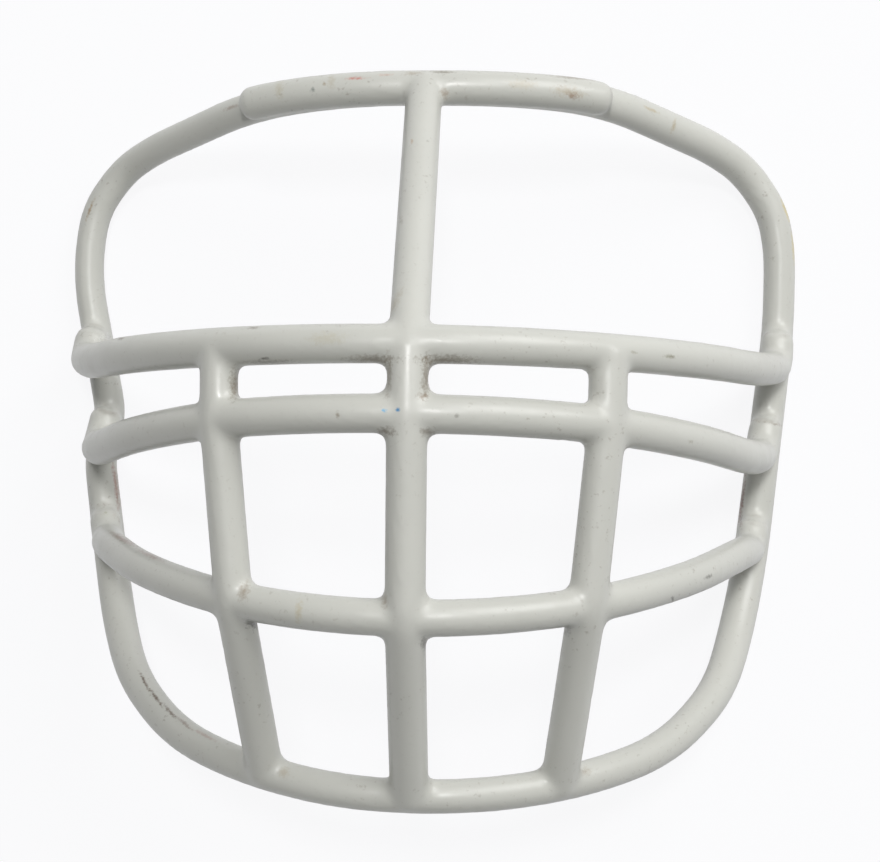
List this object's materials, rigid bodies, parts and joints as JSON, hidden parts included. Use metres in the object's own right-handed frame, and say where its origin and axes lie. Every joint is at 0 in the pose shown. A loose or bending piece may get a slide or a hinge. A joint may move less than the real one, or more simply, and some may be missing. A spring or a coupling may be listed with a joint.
{
  "type": "football helmet facemask",
  "caption": "Football helmet facemask of bent and welded steel wire under a thick light grey vinyl coating, without its strap clips.",
  "frame": {"origin": "under the middle of the guard, on the surface that its side rails rest on", "axes": "+Z out of the guard's front, +Y towards the top bar, +X to the right of someone who looks at its front"},
  "size_m": [0.2206, 0.2026, 0.1221],
  "materials": {
    "wire": "drawn steel wire, bare under the coating",
    "weld": "electric weld, left as it cooled",
    "vinyl": "satin dipped vinyl, light warm grey"
  },
  "bodies": {
    "root": {"perimeter_wire": "wire", "top_bar_wire": "wire", "upper_cross_bar_wire": "wire", "lower_cross_bar_wire": "wire", "third_cross_bar_wire": "wire", "upper_centre_bar_wire": "wire", "lower_centre_bar_wire": "wire", "left_side_bar_wire": "wire", "right_side_bar_wire": "wire", "perimeter_coating": "vinyl", "top_bar_coating": "vinyl", "upper_cross_bar_coating": "vinyl", "lower_cross_bar_coating": "vinyl", "third_cross_bar_coating": "vinyl", "upper_centre_bar_coating": "vinyl", "lower_centre_bar_coating": "vinyl", "left_side_bar_coating": "vinyl", "right_side_bar_coating": "vinyl", "perimeter_butt_weld": "weld", "top_bar_welds": "weld", "left_lap_welds": "weld", "right_lap_welds": "weld"}
  },
  "joints": []
}
